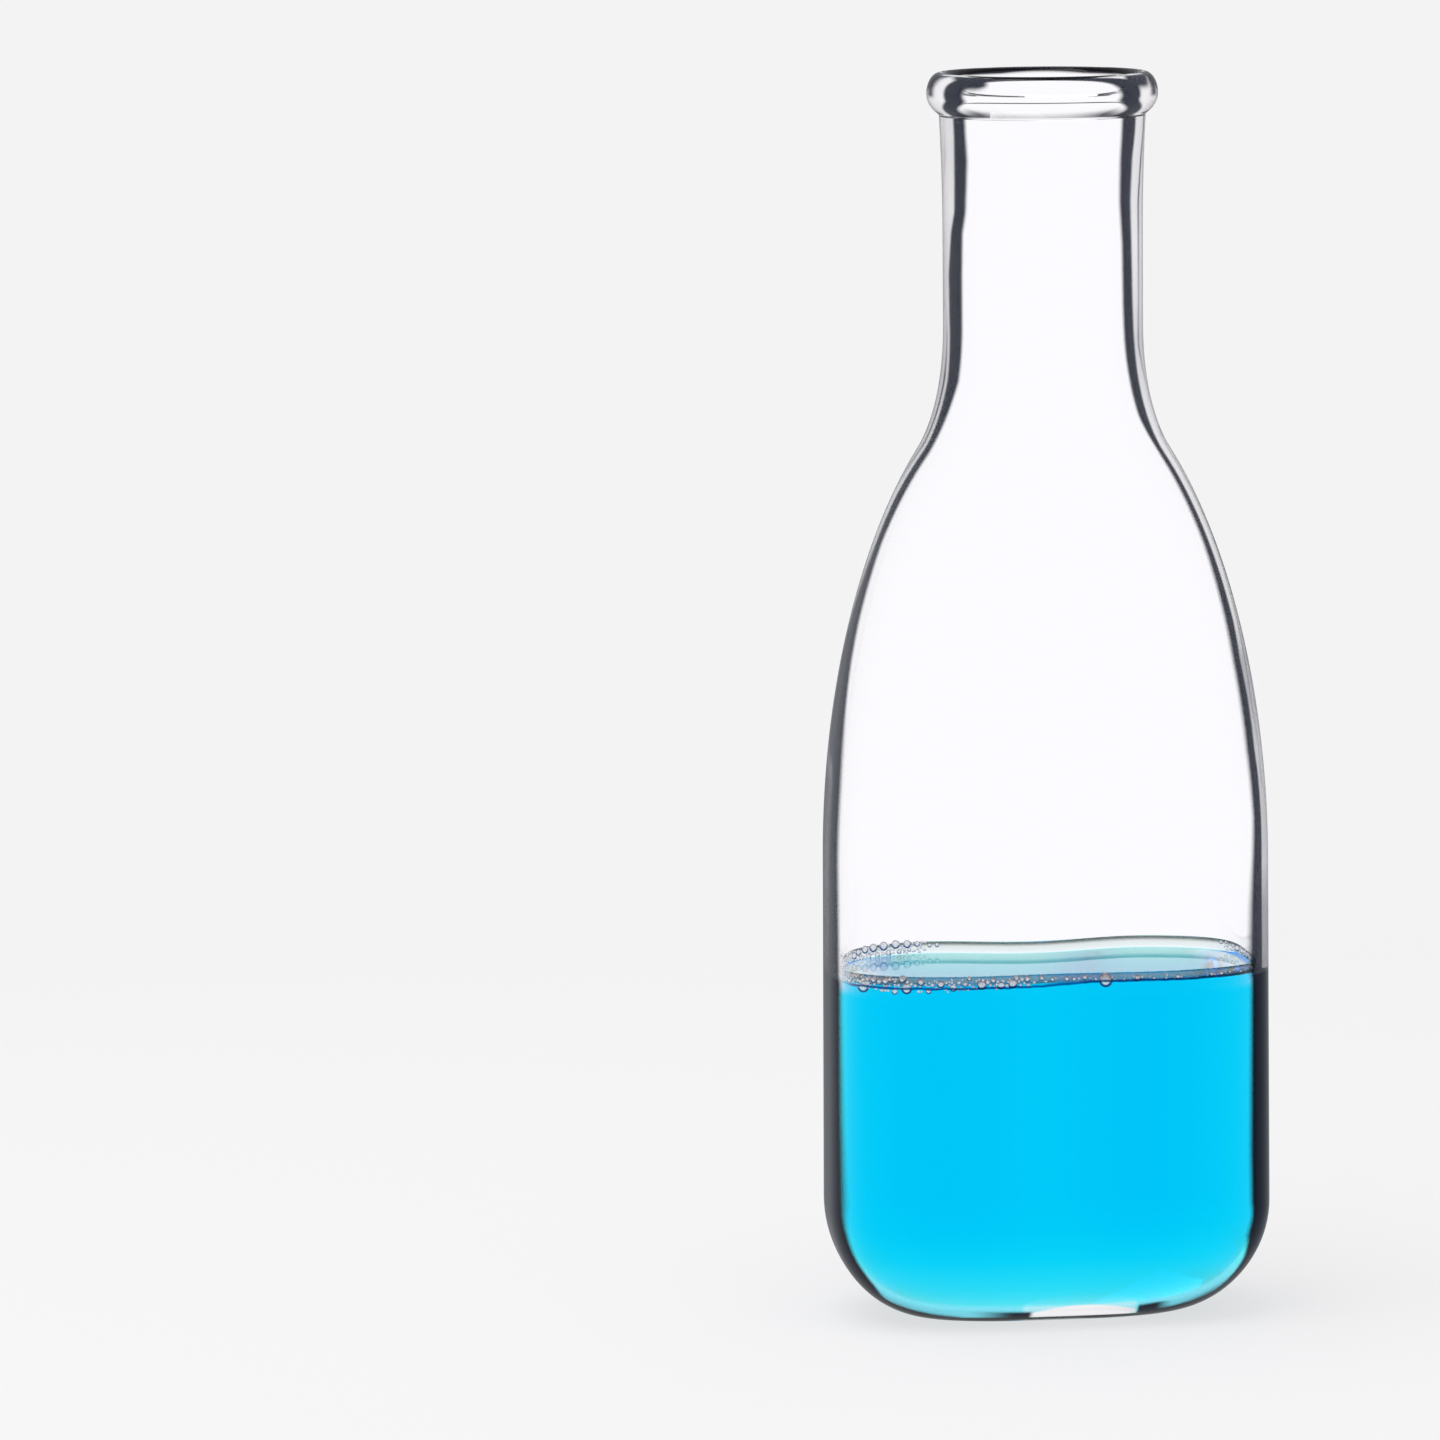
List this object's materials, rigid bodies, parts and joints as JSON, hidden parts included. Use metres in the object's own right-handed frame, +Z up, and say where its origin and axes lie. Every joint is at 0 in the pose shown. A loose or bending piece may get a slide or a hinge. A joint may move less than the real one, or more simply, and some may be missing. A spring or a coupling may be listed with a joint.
{
  "type": "cell culture bottle",
  "caption": "flattened clear glass culture bottle with ogive shoulders, round open neck and rolled lip, part filled with blue culture medium and foam along its meniscus",
  "frame": {"origin": "middle of the base on the surface that the bottle stands on", "axes": "+Z up along the bottle to its mouth, X along the broad faces, Y through the flattened depth with the front face towards -Y"},
  "size_m": [0.0856, 0.047, 0.24],
  "materials": {
    "clear_glass": "fire-polished clear borosilicate glass, smooth inside and out",
    "blue_medium": "clear blue watery liquid",
    "foam": "clear thin-walled liquid bubbles"
  },
  "bodies": {
    "root": {"glass_bottle": "clear_glass", "culture_medium": "blue_medium", "front_foam": "foam", "rear_foam": "foam", "side_foam": "foam", "large_bubble": "foam"}
  },
  "joints": []
}
